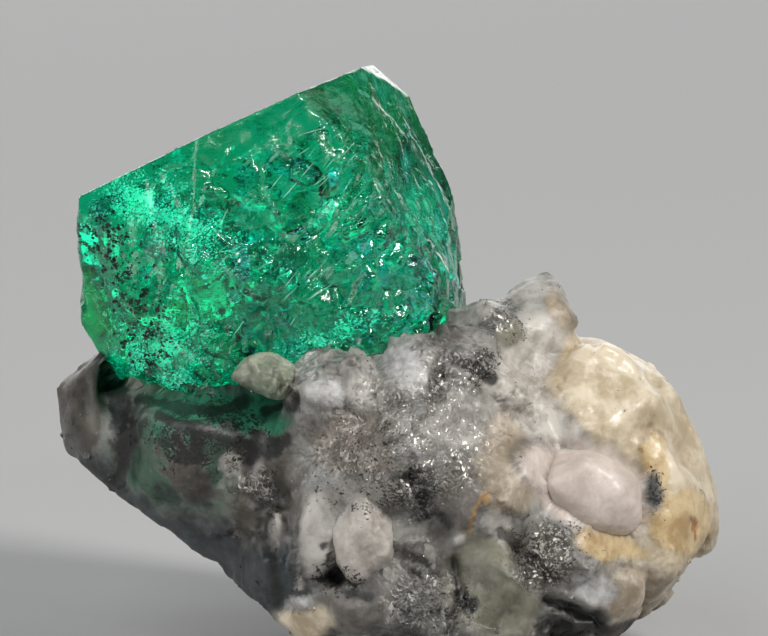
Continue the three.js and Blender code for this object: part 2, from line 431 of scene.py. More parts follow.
def crack_set():
    """All the cracks: wide wavy ones in four families, many small ones, then the swarms that flash."""
    dice = np.random.default_rng(7)
    points, faces = [], []
    made = 0

    def take(hollow):
        nonlocal made
        start = len(points)
        points.extend(hollow[0])
        faces.extend([[start + i for i in f] for f in hollow[1]])
        made += bool(hollow[0])

    # each crack's last numbers: radius, wobble, thickness, rings, spokes and seed
    for i in range(WIDE_CRACKS):
        centre = (dice.uniform(-7.5, 7.5), dice.uniform(-6, 4), dice.uniform(-12, -4.5))
        normal = Vector(CRACK_FAMILIES[i % 4]) + Vector(dice.normal(0, 0.25, 3))
        take(crack(centre, normal, dice.uniform(2.2, 5.0), 0.9, 0.03, 9, 28, i))
    for i in range(SMALL_CRACKS):
        centre = (dice.uniform(-8.5, 8.5), dice.uniform(-8.2, 2), dice.uniform(-13, -2.8))
        normal = Vector(CRACK_FAMILIES[i % 4]) + Vector(dice.normal(0, 0.5, 3))
        take(crack(centre, normal, dice.uniform(0.25, 0.9), 0.25, 0.02, 3, 10, 50 + i))
    for middle, spread, count in FLASHES:
        for i in range(count):
            centre = tuple(np.array(middle) + dice.normal(0, 0.6, 3) * np.array(spread))
            normal = Vector(FLASH_LEAN) + Vector(dice.normal(0, 0.3, 3))
            take(crack(centre, normal, dice.uniform(0.2, 0.85), 0.25, 0.02, 4, 11, 400 + made))
    print("cracks made:", made)
    return points, faces


crack_points, crack_faces = crack_set()
cracks = mesh_piece("cracks", crack_points, crack_faces)
only(cracks)
bpy.ops.object.shade_smooth()
emerald.select_set(True)
bpy.context.view_layer.objects.active = emerald
bpy.ops.object.join()
emerald.data.calc_loop_triangles()
print("emerald with cracks:", len(emerald.data.loop_triangles), "triangles")

# %% [markdown]
# ## Flakes
# Veils, mica and dark biotite are all swarms of thin plates. One maker turns places, directions and sizes
# into a single mesh of small five-sided plates, each one closed.

# %% Plate maker
def columns(rows):
    """One array for each column of a list of rows."""
    return [np.array(column) for column in zip(*rows)]


def plates(name, middles, normals, sizes, thickness, seed, narrow=(0.6, 1.0), along=None):
    """One mesh of thin plates: middles in metres, sizes and thickness in millimetres."""
    dice = np.random.default_rng(seed)
    count = len(middles)
    normals = normals / (np.linalg.norm(normals, axis=1, keepdims=True) + 1e-9)
    helper = np.where(np.abs(normals[:, 2:3]) < 0.9, [[0.0, 0.0, 1.0]], [[1.0, 0.0, 0.0]])
    side = np.cross(normals, helper if along is None else np.cross(along, normals))
    side /= np.linalg.norm(side, axis=1, keepdims=True)
    other = np.cross(normals, side)
    corners = []
    spin = dice.uniform(0, 2 * math.pi, count)
    long = dice.uniform(*narrow, count)
    for k in range(5):
        angle = spin + 2 * math.pi * k / 5 + dice.uniform(-0.25, 0.25, count)
        reach = 0.5 * sizes * dice.uniform(0.75, 1.1, count) * MM
        sideways = side * (np.cos(angle) * reach)[:, None]
        corners.append(middles + (sideways + other * (np.sin(angle) * reach * long)[:, None]))
    rise = normals * (0.5 * thickness * MM)
    points = np.stack([c + rise for c in corners] + [c - rise for c in corners], 1).reshape(-1, 3)
    rim = [[(k + 1) % 5, k, k + 5, (k + 1) % 5 + 5] for k in range(5)]
    pattern = [[0, 1, 2, 3, 4], [9, 8, 7, 6, 5], *rim]
    faces = [[10 * i + v for v in f] for i in range(count) for f in pattern]
    piece = mesh_piece(name, points, faces)
    print(name, "plates:", count)
    return piece


# %% [markdown]
# ## Veils of tiny inclusions
# Healed cracks in an emerald are veils of minute fluid drops. Each veil is a curved sheet, strewn with
# small clear plates that lie roughly in it.

# %% Veils
VEILS = [
    # middle, normal, half width, half height, plates, size
    ((-3.9, -5.6, -4.4), (0.25, -0.9, 0.35), 3.8, 2.2, 600, 0.18),
    ((-2.2, -4.8, -3.2), (-0.2, -0.7, 0.7), 3.4, 1.6, 300, 0.14),
    ((1.5, -6.2, -2.6), (0.3, -0.8, 0.5), 3.4, 0.7, 450, 0.12),
    ((4.4, -5.2, -4.6), (0.1, -0.9, -0.3), 2.6, 1.8, 500, 0.12),
    ((5.5, -6.4, -6.4), (0.2, -0.9, 0.1), 0.6, 0.5, 160, 0.12),
    ((6.8, -4.8, -7.6), (0.4, -0.8, -0.2), 1.6, 1.8, 450, 0.12),
    ((2.6, -6.0, -8.6), (0.3, -0.8, -0.4), 3.2, 1.7, 900, 0.13),
    ((4.0, -5.4, -11.8), (0.1, -0.9, -0.3), 2.6, 0.9, 500, 0.14),
    ((-6.2, -5.0, -9.4), (-0.5, -0.7, -0.4), 2.2, 1.7, 300, 0.17),
    ((0.0, 0.5, -6.0), (0.3, 0.2, 0.9), 7.0, 5.0, 900, 0.2),
    ((-1.0, 1.0, -10.0), (-0.3, 0.3, 0.9), 7.0, 5.0, 800, 0.2),
]


def veil_plates():
    dice = np.random.default_rng(21)
    for number, (centre, normal, wide, tall, count, size) in enumerate(VEILS):
        up = Vector(normal).normalized()
        side = up.orthogonal().normalized()
        other = up.cross(side)
        placed = 0
        for _ in range(count * 4):
            if placed == count:
                break
            a, b = dice.normal(0, 0.5, 2)
            own = Vector(centre) + side * a * wide + other * b * tall
            thin = noise.noise(own * 0.9 + Vector((number * 5.0, 0, 0)))
            if thin < dice.uniform(-0.35, 0.25):
                continue
            own += up * (0.7 * noise.fractal(own / 2.5, 1.0, 2.0, 2) + dice.normal(0, 0.06))
            place = CRYSTAL_TO_ROW @ own
            if not is_inside(place, 0.15):
                continue
            facing = CRYSTAL_TO_ROW.to_3x3() @ (up + Vector(dice.normal(0, 0.45, 3)))
            yield place, facing, size * dice.uniform(0.35, 1.6)
            placed += 1


veils = plates("emerald_veils", *columns(veil_plates()), 0.015, 22)

# %% [markdown]
# ## Smoke close under the skin
# Two patches of the crystal are so full of tiny feathers that they look lit: a slanting one that comes down
# from the upper left corner, and one at the foot. These feathers follow the skin of the show side, so each
# is found by looking straight in from the front and going a little deeper.

# %% Smoke under the skin
SMOKE = [
    # middle in the crystal's frame, across and down, half sizes, turn, plates
    ((-3.4, -3.2), (4.2, 1.6), -60, 3800),
    ((-4.6, -1.6), (2.2, 0.9), 0, 900),
    ((-6.6, -8.9), (2.5, 1.8), 0, 3000),
    ((1.4, -11.6), (2.8, 0.8), 0, 800),
    ((3.7, -6.1), (0.9, 0.6), 20, 260),
]
AHEAD = (CRYSTAL_TO_ROW.to_3x3() @ Vector((0, 1, 0))).normalized()
IN_FRONT = -14


def skin_at(across, down):
    """Where a look straight in from the show side meets the crystal's skin, and the skin's normal there."""
    return emerald_bvh.ray_cast(CRYSTAL_TO_ROW @ Vector((across, IN_FRONT, down)), AHEAD)[:2]


def smoke_plates():
    dice = np.random.default_rng(23)
    for (across, down), (long, short), turn, count in SMOKE:
        c, s = math.cos(math.radians(turn)), math.sin(math.radians(turn))
        placed = 0
        for _ in range(count * 3):
            if placed == count:
                break
            a, b = dice.normal(0, 0.5, 2) * (long, short)
            spot = Vector((across + a * c - b * s, 0, down + a * s + b * c))
            thin = noise.fractal(spot * 1.3, 1.0, 2.0, 2)
            if thin < dice.uniform(-0.5, 0.35):
                continue
            place, normal = skin_at(spot.x, spot.z)
            if place is None:
                continue
            place = place + AHEAD * (0.15 + dice.exponential(0.9)) * MM
            if is_inside(place, 0.1):
                facing = normal + Vector(dice.normal(0, 0.5, 3))
                yield place, facing, 0.04 + 0.15 * dice.random() ** 2.0
                placed += 1


GRAIN_OF_SMOKE = np.array([1.0, 0.0, 0.2])
smoke = plates("emerald_smoke_painted_glow", *columns(smoke_plates()), 0.012, 24, (0.3, 0.8), GRAIN_OF_SMOKE)

# %% [markdown]
# ## Bright slivers on the emerald
# The broken side catches light on fine, short ridges that run up to the right in loose bundles. They are
# made as slivers: the same plates, but long and narrow, laid on the skin of the show side.

# %% Slivers
SLIVER_BUNDLES = [
    # middle in the crystal's frame, across and down, spread and slivers
    ((-2.5, -4.6), (2.0, 1.0), 14),
    ((4.6, -3.6), (2.4, 1.8), 70),
    ((6.0, -7.2), (1.6, 2.4), 40),
    ((0.6, -8.6), (2.4, 1.6), 60),
    ((-6.4, -9.6), (1.4, 1.6), 40),
]


def sliver_places():
    dice = np.random.default_rng(61)
    for (across, down), spread, count in SLIVER_BUNDLES:
        for _ in range(count):
            sideways = across + dice.normal(0, 0.6) * spread[0]
            place, normal = skin_at(sideways, down + dice.normal(0, 0.6) * spread[1])
            if place is None or -normal.dot(AHEAD) < 0.6:
                continue
            rise = math.radians(dice.normal(20, 10))
            along = CRYSTAL_TO_ROW.to_3x3() @ Vector((math.cos(rise), 0, math.sin(rise)))
            yield place - AHEAD * 0.006 * MM, normal, 0.2 + 1.2 * dice.random() ** 2.5, along


*sliver_shapes, sliver_along = columns(sliver_places())
slivers = plates("emerald_slivers", *sliver_shapes, 0.012, 62, (0.015, 0.04), sliver_along)

# %% [markdown]
# ## Dark flakes in and on the emerald
# Small black flakes of biotite are frozen into the left front face in a loose slanting band, and a few lie
# deeper. They are plates again, but opaque and dark.

# %% Biotite in the emerald
BAND_FLECKS = 820
ALL_FLECKS = 900
MOST_TRIES = 16000


def emerald_specks():
    dice = np.random.default_rng(31)
    made = 0
    for _ in range(MOST_TRIES):
        if made == ALL_FLECKS:
            break
        in_band = made < BAND_FLECKS
        if in_band:
            down = dice.uniform(-9.4, -1.4)
            across = -6.95 + dice.normal(0, 0.65)
            if noise.noise(Vector((across, 0, down)) * 2.2) < dice.uniform(-0.25, 0.45):
                continue
        else:
            across = dice.uniform(-7, 8)
            down = dice.uniform(-13, -2)
        place, normal = skin_at(across, down)
        if place is None:
            continue
        depth = dice.exponential(0.05) - 0.01 if in_band else dice.uniform(0.3, 4)
        facing = normal + Vector(dice.normal(0, 0.3, 3))
        yield place + AHEAD * depth * MM, facing, 0.06 + 0.24 * dice.random() ** 2.2
        made += 1


emerald_flecks = plates("emerald_biotite", *columns(emerald_specks()), 0.03, 32)

# %% [markdown]
# ## The rock's shape
# The rock is quartz that grew as interlocking grains and then broke. A table lists the grains that show,
# later ones over earlier ones, and shorter tables say where the rock glitters, is specked, waxy or wet.

# %% Patches of the rock
def patch(across, up, at, half, turn, soft):
    """1 inside a turned oval of the show side, in layout millimetres, fading to 0 at its edge."""
    c, s = math.cos(math.radians(turn)), math.sin(math.radians(turn))
    dx, du = across - at[0], up - at[1]
    r = np.hypot((dx * c + du * s) / half[0], (-dx * s + du * c) / half[1])
    return 1 - fade(r, 1 - soft, 1 + soft)


def most(*masks):
    return np.maximum.reduce(masks)


STONE_COLOURS = {
    # the dark and the pale of each stone
    "umber": ((0.022, 0.02, 0.015), (0.1, 0.09, 0.072)),
    # the dark bluish stone of the lower left, with painted shade where that side faces down, away from the
    # light
    "slate_and_shade": ((0.012, 0.015, 0.016), (0.055, 0.066, 0.07)),
    "moss": ((0.005, 0.013, 0.01), (0.06, 0.125, 0.08)),
    # painted light: the crystal's green light, painted onto the rock ledge under its foot
    "painted_glow": ((0.01, 0.055, 0.034), (0.05, 0.26, 0.15)),
    "black": ((0.004, 0.004, 0.004), (0.03, 0.03, 0.028)),
    "smoke": ((0.02, 0.021, 0.02), (0.1, 0.1, 0.092)),
    "taupe": ((0.08, 0.072, 0.064), (0.2, 0.18, 0.16)),
    "grey": ((0.11, 0.11, 0.105), (0.36, 0.355, 0.34)),
    "tan": ((0.12, 0.1, 0.082), (0.4, 0.35, 0.3)),
    "olive": ((0.085, 0.083, 0.058), (0.22, 0.21, 0.155)),
    "pearl": ((0.24, 0.225, 0.2), (0.47, 0.45, 0.415)),
    "milky": ((0.23, 0.226, 0.222), (0.56, 0.552, 0.54)),
    "chalk": ((0.3, 0.275, 0.24), (0.6, 0.565, 0.51)),
    "pink": ((0.48, 0.41, 0.36), (0.7, 0.61, 0.55)),
    "sand": ((0.25, 0.2, 0.14), (0.5, 0.43, 0.34)),
    "cream": ((0.46, 0.37, 0.24), (0.74, 0.65, 0.5)),
    "honey": ((0.4, 0.27, 0.12), (0.66, 0.52, 0.31)),
    "amber": ((0.3, 0.17, 0.06), (0.5, 0.33, 0.14)),
    "rust": ((0.2, 0.06, 0.015), (0.42, 0.19, 0.06)),
}

QUARTZ_GRAINS = [
    # stone, middle, half size and turn on the show side, how far it stands proud
    ("umber", (-15.4, 10.6), (2.4, 4.6), 0, -0.2),
    # dark translucent stone, and painted shade on the side that faces down and away from the light
    ("slate_and_shade", (-10.0, 5.6), (7.4, 3.6), -36, 0.0),
    ("moss", (-9.9, 9.6), (4.4, 3.4), -12, 0.0),
    ("umber", (-6.8, 7.4), (1.8, 2.8), 8, 0.0),
    # painted shade: black in the cleft between the left lobe and the crystal
    ("black", (-14.0, 11.6), (0.6, 3.4), 12, -0.2),
    ("umber", (-15.8, 12.0), (0.9, 2.0), 8, -0.2),
    # painted shade: black under the crystal's left foot
    ("black", (-10.9, 11.3), (1.5, 0.5), -8, -0.15),
    ("umber", (-11.0, 8.1), (2.2, 0.8), -24, 0.0),
    ("moss", (-12.4, 7.9), (0.7, 1.6), 30, 0.0),
    # painted light: the crystal's green light on the ledge
    ("painted_glow", (-11.2, 10.5), (0.9, 0.5), 0, 0.0),
    ("black", (-10.0, 10.2), (0.4, 1.5), 8, 0.0),
    ("black", (-10.7, 9.2), (0.6, 0.8), 20, 0.0),
    ("black", (-7.3, 9.7), (1.3, 0.6), -30, 0.0),
    # painted light: the crystal's green light on the ledge, brightest next to its foot
    ("painted_glow", (-6.9, 11.1), (1.4, 1.6), 20, 0.1),
    ("painted_glow", (-9.6, 11.4), (2.8, 0.7), 4, 0.0),
    ("black", (-6.5, 9.7), (1.0, 0.55), 10, 0.0),
    ("pearl", (-7.9, 8.4), (1.0, 0.5), 20, 0.05),
    ("milky", (-4.5, 13.5), (0.7, 0.5), 0, 0.0),
    ("milky", (-3.5, 12.2), (1.1, 0.8), -20, 0.08),
    ("pearl", (-2.1, 12.1), (0.65, 1.3), 8, 0.25),
    ("milky", (0.3, 13.5), (1.3, 1.4), 15, 0.08),
    ("smoke", (1.9, 13.3), (0.45, 1.4), -20, -0.15),
    ("milky", (3.1, 13.7), (0.8, 0.8), 0, 0.2),
    ("black", (4.3, 13.4), (0.6, 0.8), -20, -0.2),
    ("tan", (-1.9, 9.7), (2.3, 1.6), 0, 0.0),
    ("grey", (0.9, 10.0), (1.4, 1.7), 0, 0.1),
    ("pearl", (3.3, 10.9), (1.7, 1.3), 20, 0.05),
    ("smoke", (0.6, 7.3), (1.5, 1.2), 20, 0.1),
    ("black", (1.4, 6.5), (0.7, 0.3), 25, -0.1),
    ("pearl", (-1.9, 7.4), (1.3, 0.9), 0, 0.1),
    ("grey", (-4.3, 7.6), (0.7, 1.1), -8, 0.2),
    ("pearl", (-4.1, 5.3), (0.9, 2.1), 3, 0.25),
    ("pearl", (-6.05, 5.6), (0.5, 0.85), 0, 0.15),
    ("smoke", (-5.25, 4.4), (0.22, 1.5), 0, -0.2),
    # black bits, and painted shade in the crevice
    ("black", (-3.0, 3.1), (0.7, 0.5), 20, -0.25),
    ("taupe", (-2.3, 1.7), (1.9, 1.3), 15, 0.1),
    ("pearl", (-5.0, 3.0), (0.25, 0.4), 0, 0.25),
    ("cream", (-4.6, 0.9), (1.3, 1.0), 0, 0.1),
    ("milky", (-5.0, 1.8), (0.7, 0.4), 10, 0.2),
    ("smoke", (0.9, 2.0), (1.2, 1.7), 0, -0.1),
    ("taupe", (2.9, 7.2), (1.2, 2.2), -10, 0.1),
    ("smoke", (2.4, 0.8), (2.4, 0.8), 0, 0.0),
    ("olive", (4.7, 2.9), (2.6, 2.8), 12, 0.12),
    ("pearl", (4.8, 5.7), (0.8, 0.9), 10, 0.15),
    ("black", (2.9, 2.0), (0.5, 0.4), 0, -0.15),
    ("chalk", (6.2, 12.6), (2.1, 1.9), -30, 0.0),
    ("sand", (5.7, 8.8), (2.0, 2.3), 10, 0.0),
    ("cream", (13.0, 8.8), (4.2, 6.6), 8, 0.0),
    ("cream", (10.0, 13.2), (3.4, 2.4), -35, 0.0),
    ("pearl", (6.6, 16.4), (2.2, 1.6), 0, 0.0),
    ("sand", (8.0, 16.3), (0.5, 1.2), 20, 0.0),
    ("smoke", (5.0, 16.0), (1.2, 0.6), 35, 0.0),
    ("chalk", (7.0, 14.8), (1.2, 1.5), -10, 0.08),
    ("olive", (5.4, 15.0), (0.8, 0.6), 20, 0.0),
    ("chalk", (7.3, 10.4), (1.7, 0.9), -25, 0.08),
    ("pink", (9.6, 7.3), (3.0, 2.3), -26, 0.05),
    ("pink", (7.2, 8.6), (1.7, 1.2), -30, 0.12),
    ("honey", (14.2, 5.8), (1.7, 1.7), -20, 0.0),
    ("honey", (10.4, 4.7), (2.0, 0.6), -10, 0.0),
    ("honey", (12.5, 8.8), (0.7, 1.8), 14, 0.0),
    ("smoke", (12.4, 7.6), (0.45, 0.9), 10, 0.0),
    ("rust", (14.6, 5.6), (0.25, 0.55), 0, -0.1),
    ("umber", (7.0, 4.1), (1.5, 1.6), -20, -0.1),
    ("sand", (12.0, 2.0), (2.4, 1.5), -10, 0.0),
    ("milky", (9.6, 2.6), (1.2, 0.8), 5, 0.08),
    # painted shade: black in the gap along the foot of the rock
    ("black", (8.2, 0.7), (2.0, 0.7), 15, -0.3),
    ("umber", (11.0, 0.6), (1.4, 0.5), 15, 0.0),
    ("amber", (4.1, 7.3), (0.3, 0.3), 0, 0.0),
    ("amber", (3.55, 6.3), (0.13, 1.1), -22, 0.05),
    ("pearl", (2.75, 5.1), (0.25, 0.35), -20, 0.25),
]
FRONT_ONLY = 2.5
MICA_PATCHES = [
    # strength, middle, half size, turn and softness; the same in the next two tables
    (1.0, (0.2, 9.8), (4.4, 3.4), 0, 0.45),
    (1.0, (7.0, 4.1), (1.6, 1.8), -20, 0.35),
    (1.0, (-4.4, 13.6), (0.9, 0.6), 0, 0.4),
    (0.9, (2.9, 13.6), (2.2, 1.3), 0, 0.35),
    (0.8, (5.0, 16.0), (1.3, 0.8), 35, 0.35),
    (0.6, (1.4, 2.2), (2.6, 2.0), 0, 0.45),
    (0.8, (-7.4, 7.8), (1.5, 1.0), -30, 0.4),
    (0.5, (3.0, 8.0), (1.4, 2.2), 0, 0.4),
]
SPECK_PATCHES = [
    (0.85, (12.5, 7.6), (0.5, 1.2), 10, 0.9),
    (0.6, (8.7, 5.4), (1.3, 0.4), -25, 0.9),
    (0.8, (-9.3, 10.2), (3.4, 2.0), 0, 0.4),
    (0.9, (4.1, 13.5), (1.0, 1.0), 0, 0.4),
    (0.55, (-1.5, 8.6), (3.4, 3.0), 0, 0.4),
    (0.7, (-3.0, 3.1), (1.4, 1.0), 0, 0.4),
    (0.6, (6.8, 4.4), (2.0, 1.8), 0, 0.4),
    (0.7, (-6.4, 7.2), (0.8, 1.4), 0, 0.4),
    (0.5, (1.4, 1.8), (2.6, 1.8), 0, 0.4),
    (0.5, (5.2, 15.4), (1.4, 1.0), 0, 0.4),
]
WAXY_PATCHES = [
    (0.9, (6.8, 15.6), (3.2, 2.8), 0, 0.4),
    (0.9, (-10.0, 10.8), (5.0, 2.6), -8, 0.4),
    (0.8, (12.0, 1.8), (4.0, 1.8), 0, 0.4),
    (1.0, (8.8, 7.8), (4.0, 3.2), -26, 0.3),
    (1.0, (-3.0, 5.6), (2.6, 2.8), 0, 0.3),
]
WAXY_STONES = {"cream": 1.0, "honey": 1.0, "pink": 1.0, "olive": 1.0, "taupe": 0.9, "sand": 0.6,
               "slate_and_shade": 0.85, "umber": 0.8, "moss": 0.8, "milky": 0.6, "pearl": 0.7}
WET_STONES = {"cream": 1.0, "honey": 1.0, "pink": 0.7, "chalk": 0.6}


def rock_zones(layout):
    """What the rock is at every point, from 0 to 1: each stone, with painted shade and painted light from
    the crystal among them, and each overlay.
    """
    warp_x = 0.4 * wave(layout, 2.2, 2, 41) + 0.16 * wave(layout, 0.6, 2, 42)
    warp_u = 0.4 * wave(layout, 2.2, 2, 43) + 0.16 * wave(layout, 0.6, 2, 44)
    ragged = patch(layout[:, 0], layout[:, 2], (-10.6, 9.4), (5.2, 4.0), -12, 0.5)
    warp_x = warp_x + ragged * 0.8 * wave(layout, 1.2, 2, 45)
    warp_u = warp_u + ragged * 0.8 * wave(layout, 1.2, 2, 46)
    x, u = layout[:, 0] + warp_x, layout[:, 2] + warp_u
    front = 1 - fade(layout[:, 1], 0.0, 3.5)
    zones = {name: np.zeros(len(x)) for name in (*STONE_COLOURS, "lift")}
    edge = np.zeros(len(x))
    for stone, at, half, turn, proud in QUARTZ_GRAINS:
        inside = patch(x, u, at, half, turn, 0.25 if stone in ("black", "rust") else 0.42)
        if max(half) < FRONT_ONLY:
            inside = inside * front
        for name in zones:
            zones[name] = zones[name] * (1 - inside)
        zones[stone] = zones[stone] + inside
        zones["lift"] = zones["lift"] + inside * proud
        edge = np.maximum(edge * (1 - inside), (abs(proud) > 0.09) * 4 * inside * (1 - inside))
    zones["edge"] = edge
    for name, patches in (("mica", MICA_PATCHES), ("specks", SPECK_PATCHES), ("waxy", WAXY_PATCHES)):
        zones[name] = most(*(share * patch(x, u, *spot) for share, *spot in patches))
    zones["waxy"] = most(zones["waxy"], *(share * zones[stone] for stone, share in WAXY_STONES.items()))
    zones["wet"] = most(*(share * zones[stone] for stone, share in WET_STONES.items()))
    return zones


SEAMS = [
    # path on the show side, half width, depth, darkness: dark joints, and painted shade in the clefts and
    # gaps
    ([(-15.4, 15.4), (-14.3, 12.4), (-13.6, 10.0), (-13.9, 7.8)], 0.42, 1.3, 1.0),
    ([(-12.9, 11.9), (-11.2, 11.5), (-9.0, 11.3), (-7.6, 11.9)], 0.3, 0.08, 1.0),
    ([(-11.8, 11.0), (-9.5, 10.3), (-7.6, 9.6)], 0.35, 0.0, 0.85),
    ([(-7.7, 9.0), (-7.0, 6.6), (-6.2, 4.0), (-5.9, 1.6)], 0.4, 0.5, 0.6),
    ([(-3.6, 4.6), (-3.2, 3.4), (-2.5, 2.5), (-1.6, 2.3)], 0.28, 0.5, 0.9),
    ([(-5.1, 6.2), (-5.2, 4.0), (-5.3, 2.8)], 0.2, 0.35, 0.5),
    ([(-6.1, 7.3), (-6.0, 6.8)], 0.3, 0.6, 1.0),
    ([(-5.0, 12.2), (-5.4, 11.6), (-6.6, 11.3)], 0.25, 0.4, 0.9),
    ([(5.0, 5.4), (5.8, 4.5), (6.5, 3.8), (7.3, 3.3)], 0.2, 0.45, 0.3),
    ([(7.4, 1.9), (8.6, 1.5), (9.8, 0.6)], 0.45, 0.7, 0.9),
    ([(2.6, 4.0), (2.9, 2.4), (2.4, 0.6)], 0.25, 0.35, 0.7),
    ([(0.6, 8.2), (1.4, 6.6), (2.3, 5.8)], 0.35, 0.3, 0.7),
    ([(2.6, 13.9), (3.9, 13.6), (4.5, 12.9)], 0.35, 0.35, 0.9),
    ([(9.6, 13.6), (9.7, 11.2), (8.2, 10.9)], 0.25, 0.12, 0.0),
    ([(7.4, 9.0), (8.7, 9.9), (10.6, 9.4), (12.2, 8.2), (12.3, 6.0), (10.6, 5.0)], 0.15, 0.1, 0.2),
    ([(8.7, 15.6), (10.0, 14.0), (11.6, 13.4)], 0.25, 0.25, 0.0),
]


def near_path(x, u, path):
    """Distance in millimetres from each point to a path on the show side."""
    best = np.full(len(x), 1e9)
    for (ax, au), (bx, bu) in zip(path, path[1:]):
        dx, du = bx - ax, bu - au
        t = np.clip(((x - ax) * dx + (u - au) * du) / (dx * dx + du * du), 0, 1)
        best = np.minimum(best, np.hypot(x - ax - t * dx, u - au - t * du))
    return best


def seams(layout):
    """How deep the seams cut, in millimetres, and how dark they are painted: dark joints, and painted shade
    in clefts.
    """
    x = layout[:, 0] + 0.25 * wave(layout, 1.1, 2, 45)
    u = layout[:, 2] + 0.25 * wave(layout, 1.1, 2, 46)
    front = 1 - fade(layout[:, 1], 0.0, 3.0)
    depth, dark = np.zeros(len(x)), np.zeros(len(x))
    for path, half, deep, shade in SEAMS:
        inside = 1 - fade(near_path(x, u, path), 0.25 * half, 1.6 * half)
        depth = np.maximum(depth, inside * deep * front)
        # darkness of the seams: dark joints, and painted shade in the clefts and gaps
        dark = np.maximum(dark, inside * shade * front)
    return depth, dark


OVERLAYS = ("mica", "specks", "waxy", "wet", "dark_seam_and_shade", "edge")
BARE_QUARTZ = ((0.09, 0.085, 0.076), (0.33, 0.32, 0.295))


def mark_zones(piece, zones, bare=BARE_QUARTZ, cover=1.0):
    """Writes the overlays, and the dark and the pale colour of the stone at every point, onto the mesh."""
    for name in OVERLAYS:
        mark = piece.data.attributes.new(name, "FLOAT", "POINT")
        mark.data.foreach_set("value", zones[name].astype(np.float32))
    for shade, name in enumerate(("stone_deep", "stone_pale")):
        colour = np.tile(np.array([*bare[shade], 1.0]), (len(piece.data.vertices), 1))
        for stone, pair in STONE_COLOURS.items():
            share = cover * fade(zones[stone], 0.12, 0.88)[:, None]
            colour = colour * (1 - share) + np.array([*pair[shade], 1.0]) * share
        mark = piece.data.attributes.new(name, "FLOAT_COLOR", "POINT")
        mark.data.foreach_set("color", colour.astype(np.float32).ravel())


# %% [markdown]
# ## Chips, seams and contacts
# The fine copy gets chips of several sizes, weaker where the rock is waxy, and none on the flat base. Then
# it is drawn up to the crystal and the grains, because stone that grew round them leaves no gap, and the
# ledge at the crystal's left foot is smoothed.

# %% Shape the rock
ROCK_VOXEL = 0.18
WAXY_ROUNDS = 30
rock = fine_copy("matrix_rock", "rock", ROCK_VOXEL, 6)


def melt(piece, weight, rounds):
    """Smooths the mesh only where the weight is high, as where a grain parted with a waxy skin."""
    group = piece.vertex_groups.new(name="melt")
    for level in range(1, 11):
        picked = np.flatnonzero(np.round(weight * 10) == level)
        group.add(picked.tolist(), level / 10, "REPLACE")
    only(piece)
    soften(piece, 0.6, rounds, group.name)
    piece.vertex_groups.clear()


def trim_shoulder(row):
    """Rounds off the upper right shoulder, which slopes from the tip down to the cream flank."""
    layout = seen_from(TO_ROW, row)
    start, end = np.array([7.6, 16.9]), np.array([13.7, 12.3])
    slope = (end - start) / np.linalg.norm(end - start)
    out = np.array([-slope[1], slope[0]])
    above = (layout[:, [0, 2]] - start) @ out
    along = (layout[:, [0, 2]] - start) @ slope
    push = np.maximum(above, 0) * 0.9 * fade(along, -0.5, 1.5)
    layout[:, 0] -= push * out[0]
    layout[:, 2] -= push * out[1]
    return placed_by(TO_ROW, layout)


def shape_rock(piece):
    set_points(piece, trim_shoulder(points_of(piece)))
    melt(piece, rock_zones(seen_from(TO_ROW, points_of(piece)))["waxy"], WAXY_ROUNDS)
    row = points_of(piece)
    push = normals_of(piece)
    layout = seen_from(TO_ROW, row)
    zones = rock_zones(layout)
    calm = 1 - 0.85 * zones["waxy"]
    height = 0.25 * wave(layout, 3.0, 1, 51)
    height += chips(layout, 2.2, 0.16, 0.12, 61) * calm
    height += chips(layout, 0.9, 0.15, 0.06, 62) * calm
    height += chips(layout, 0.45, 0.12, 0.025, 63) * (calm - 0.1) * (0.4 + 0.8 * zones["mica"])
    height += 0.03 * wave(layout, 0.45, 2, 52) * calm
    height += zones["lift"] - seams(layout)[0]
    base = fade(row[:, 2] / MM, 0.05, 0.9)
    moved = row + push * (height * base)[:, None] * MM
    set_points(piece, np.clip(moved, *np.array(CAD_BOX)))


def close_gap(piece, bvh, gap, bite):
    """Moves the points that lie within gap of a neighbour onto it, and returns how near each point was."""
    row = points_of(piece)
    near = np.zeros(len(row))
    for i, p in enumerate(row):
        place, normal, _, away = bvh.find_nearest(Vector(p), gap * MM)
        if place is not None and (Vector(p) - place).dot(normal) > 0:
            near[i] = 1 - fade(np.array(away / MM), 0.45, gap)
            row[i] += np.array(place - normal * bite * MM - Vector(p)) * near[i]
    set_points(piece, row)
    return near


shape_rock(rock)
melt(rock, np.minimum(1, 4 * close_gap(rock, emerald_bvh, 1.4, 0.12)), 12)
across, _, up = seen_from(TO_ROW, points_of(rock)).T
melt(rock, patch(across, up, (-10.4, 10.2), (5.4, 2.8), -8, 0.5), 150)
melt(rock, patch(across, up, (-9.6, 10.2), (2.8, 1.4), -16, 0.5), 250)
close_gap(rock, emerald_bvh, 0.6, 0.12)
for grain in ("smooth_quartz_grain", "oval_quartz_grain", "pale_green_beryl_grain"):
    grain_bvh = BVHTree.FromObject(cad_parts[grain], bpy.context.evaluated_depsgraph_get())
    melt(rock, np.minimum(1, 3 * close_gap(rock, grain_bvh, 1.5, -0.05)), 14)
    close_gap(rock, grain_bvh, 0.5, -0.02)


def under_crystal(piece):
    """1 where a point of the rock lies close under the crystal and shows through it, else 0."""
    toward = TO_ROW.to_3x3().normalized() @ Vector((0, -1, 0))
    faces_front = normals_of(piece) @ np.array(toward) > 0.15
    seat = np.zeros(len(piece.data.vertices))
    for i, p in enumerate(points_of(piece)):
        if faces_front[i] and emerald_bvh.find_nearest(Vector(p), 1.0 * MM)[0] is not None:
            seat[i] = emerald_bvh.ray_cast(Vector(p) + toward * 0.25 * MM, toward)[0] is not None
    return seat


